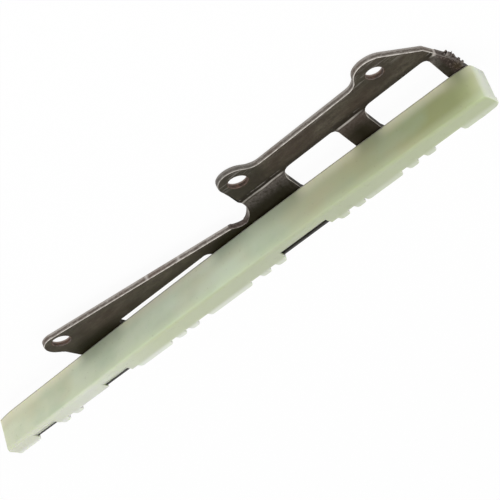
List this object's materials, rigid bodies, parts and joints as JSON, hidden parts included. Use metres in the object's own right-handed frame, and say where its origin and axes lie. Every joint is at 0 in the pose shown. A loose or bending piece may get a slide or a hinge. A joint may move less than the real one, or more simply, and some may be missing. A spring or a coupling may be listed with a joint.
{
  "type": "timing chain guide",
  "caption": "Straight timing chain guide: a joggled sheet-steel bracket with bolt ears and windows, and a crowned translucent nylon running shoe clipped over its flange.",
  "frame": {"origin": "centre of the middle bolt hole on the bracket's mounting face", "axes": "+X along the rail from the end with the long bare overhang to the end with the arm, +Y from the flange towards the bolt ears, +Z out of the mounting face towards the bolt heads"},
  "size_m": [0.235, 0.0376, 0.0196],
  "materials": {
    "oiled_steel": "dark phosphated and oiled sheet steel, bare grey on the sheared edges",
    "green_nylon": "translucent pale green moulded nylon, satin"
  },
  "bodies": {
    "root": {"steel_bracket": "oiled_steel", "nylon_shoe": "green_nylon"}
  },
  "joints": []
}
